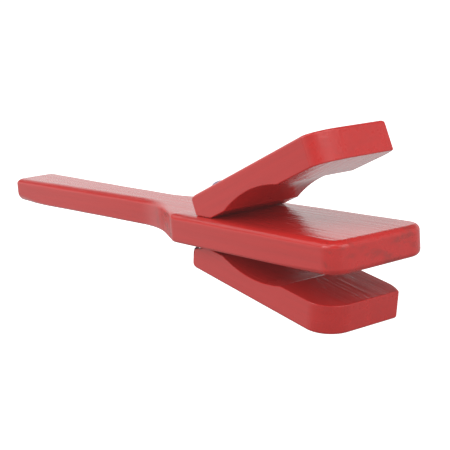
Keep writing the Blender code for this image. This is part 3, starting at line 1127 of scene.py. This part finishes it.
def pale_floor():
    """White to the camera, with a faint shadow. The pieces see a glowing floor with a painted shadow: dim
    beneath them, bright further out.
    """
    made, tree, shader = new_material("pale_floor")
    away = distance_from_object(tree)
    looks = {
        "Base Color": (0.86, 0.86, 0.86, 1.0),
        "Roughness": 1.0,
        "Specular IOR Level": 0.0,
        "Emission Color": WHITE,
        "Emission Strength": remap(tree, away, 0.25, 0.8, 0.5, 1.1),
    }
    set_looks(tree, shader, looks)
    # Painted shadow: rays other than the camera's see the floor glow dimly under the pieces and brighter
    # further out, standing in for their shadow.
    floor_glow_painted_shadow = add_node(tree, "ShaderNodeEmission", {"Strength": remap(tree, away, 0.17, 0.33, 0.30, 0.73)})
    rays = add_node(tree, "ShaderNodeLightPath").outputs["Is Camera Ray"]
    inputs = {0: rays, 1: floor_glow_painted_shadow.outputs[0], 2: shader.outputs["BSDF"]}
    mixed = add_node(tree, "ShaderNodeMixShader", inputs).outputs[0]
    tree.links.new(mixed, tree.nodes["Material Output"].inputs["Surface"])
    return made


def build_floor():
    middle = (0.0, 0.0, FLOOR_HEIGHT)
    bpy.ops.mesh.primitive_circle_add(vertices=96, radius=FLOOR_RADIUS, fill_type="NGON", location=middle)
    floor = bpy.context.object
    floor.name = "floor"
    dress(floor, pale_floor())


def build_world():
    """White to the camera. Objects are lit by a bright band round the horizon and a dim dome."""
    world = bpy.data.worlds.new("studio")
    bpy.context.scene.world = world
    world.use_nodes = True
    tree = world.node_tree
    background = tree.nodes["Background"]
    direction = add_node(tree, "ShaderNodeTexCoord").outputs["Generated"]
    up = add_node(tree, "ShaderNodeSeparateXYZ", {"Vector": direction}).outputs["Z"]
    dome = remap(tree, up, math.sin(BAND_TOP), math.sin(DOME_BOTTOM), BAND_STRENGTH, DOME_STRENGTH)
    camera_ray = add_node(tree, "ShaderNodeLightPath").outputs["Is Camera Ray"]
    strength = maths(tree, "MAXIMUM", dome, times(tree, camera_ray, BACKDROP_STRENGTH))
    feed(tree, background.inputs["Strength"], strength)
    feed(tree, background.inputs["Color"], WHITE)


def direction_from(azimuth, elevation):
    """From the object towards a place at this azimuth and elevation."""
    level = math.cos(elevation)
    return Vector((math.sin(azimuth) * level, -math.cos(azimuth) * level, math.sin(elevation)))


def softbox(name, azimuth, elevation, width, power):
    """A square light in this direction, in degrees, that shines on the object."""
    data = bpy.data.lights.new(name, "AREA")
    data.shape = "SQUARE"
    data.size = width
    data.energy = power
    light = bpy.data.objects.new(name, data)
    bpy.context.scene.collection.objects.link(light)
    towards = direction_from(math.radians(azimuth), math.radians(elevation))
    light.location = CAMERA_TARGET + towards * SOFTBOX_DISTANCE
    light.rotation_euler = towards.to_track_quat("Z", "Y").to_euler()


def build_camera():
    data = bpy.data.cameras.new("camera")
    data.sensor_width = SENSOR_WIDTH
    data.lens = CAMERA_LENS
    data.clip_start = 0.01
    camera = bpy.data.objects.new("camera", data)
    bpy.context.scene.collection.objects.link(camera)
    back = direction_from(CAMERA_AZIMUTH, CAMERA_ELEVATION)
    level_right = Vector((math.cos(CAMERA_AZIMUTH), math.sin(CAMERA_AZIMUTH), 0.0))
    level_up = back.cross(level_right)
    right = level_right * math.cos(CAMERA_ROLL) + level_up * math.sin(CAMERA_ROLL)
    up = level_up * math.cos(CAMERA_ROLL) - level_right * math.sin(CAMERA_ROLL)
    axes = Matrix((right, up, back)).transposed().to_4x4()
    camera.matrix_world = Matrix.Translation(CAMERA_TARGET + back * CAMERA_DISTANCE) @ axes
    bpy.context.scene.camera = camera


def build_studio():
    build_floor()
    build_world()
    softbox("key_left", -15.0, 42.0, 0.6, 3.9)
    softbox("key_right", 112.0, 50.0, 0.6, 3.4)
    softbox("rim", -77.0, 52.0, 0.6, 0.8)
    softbox("overhead", 5.0, 78.0, 0.35, 1.3)
    softbox("front_fill", 92.0, 12.0, 0.6, 0.9)
    build_camera()
    view = bpy.context.scene.view_settings
    view.view_transform = "Standard"
    # The white surroundings leave a thin veil of stray light in the lens.
    view.use_curve_mapping = True
    view.curve_mapping.black_level = (-LENS_VEIL, -LENS_VEIL, -LENS_VEIL)
    view.curve_mapping.update()


# ---------------------------------------------------------------- everything


def build_cord(upper, lower, pieces):
    """The one cord: a loop over the upper clapper, four spans in the gaps and two knotted ends."""
    cords = [build_upper_loop(upper, pieces)]
    for side, label in ((-1, "near"), (1, "far")):
        for clapper, level in ((upper, "upper"), (lower, "lower")):
            span = build_span(f"cord_{label}_{level}_span", clapper, side, pieces)
            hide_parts(f"cord_{label}_leg")
            cords.append(span)
    cords.append(build_knot_strand("cord_knot_first_end", lower, False, pieces))
    cords.append(build_knot_strand("cord_knot_second_end", lower, True, pieces))
    look = elastic_cord("braided_elastic")
    for cord in cords:
        dress(cord, look)


def build():
    pieces = new_collection("castanets")
    cutters = new_collection("cutters")
    upper = Clapper(
        "upper_clapper", "upper_rock", 1, UPPER_SETTLING, UPPER_HEEL_ROUNDOVER, UPPER_NEAR_CORNER
    )
    lower = Clapper("lower_clapper", "lower_rock", -1, 0.0, LOWER_HEEL_ROUNDOVER, LOWER_NEAR_CORNER)
    paddle = build_paddle(pieces, cutters)
    upper_wood = build_clapper("upper_clapper_lacquered", upper, pieces, cutters)
    lower_wood = build_clapper("lower_clapper_lacquered", lower, pieces, cutters)
    dress(paddle, lacquered_wood("paddle_lacquer", (0.0, 0.0, 0.0), 0.6))
    dress(upper_wood, lacquered_wood("upper_clapper_lacquer", (7.3, 2.1, 5.2), 0.12, far_gloss=0.9))
    dress(lower_wood, lacquered_wood("lower_clapper_lacquer", (3.1, 8.4, 1.7), 0.12))
    for cutter in list(cutters.objects):
        bpy.data.objects.remove(cutter, do_unlink=True)
    build_cord(upper, lower, pieces)
    build_studio()


build()
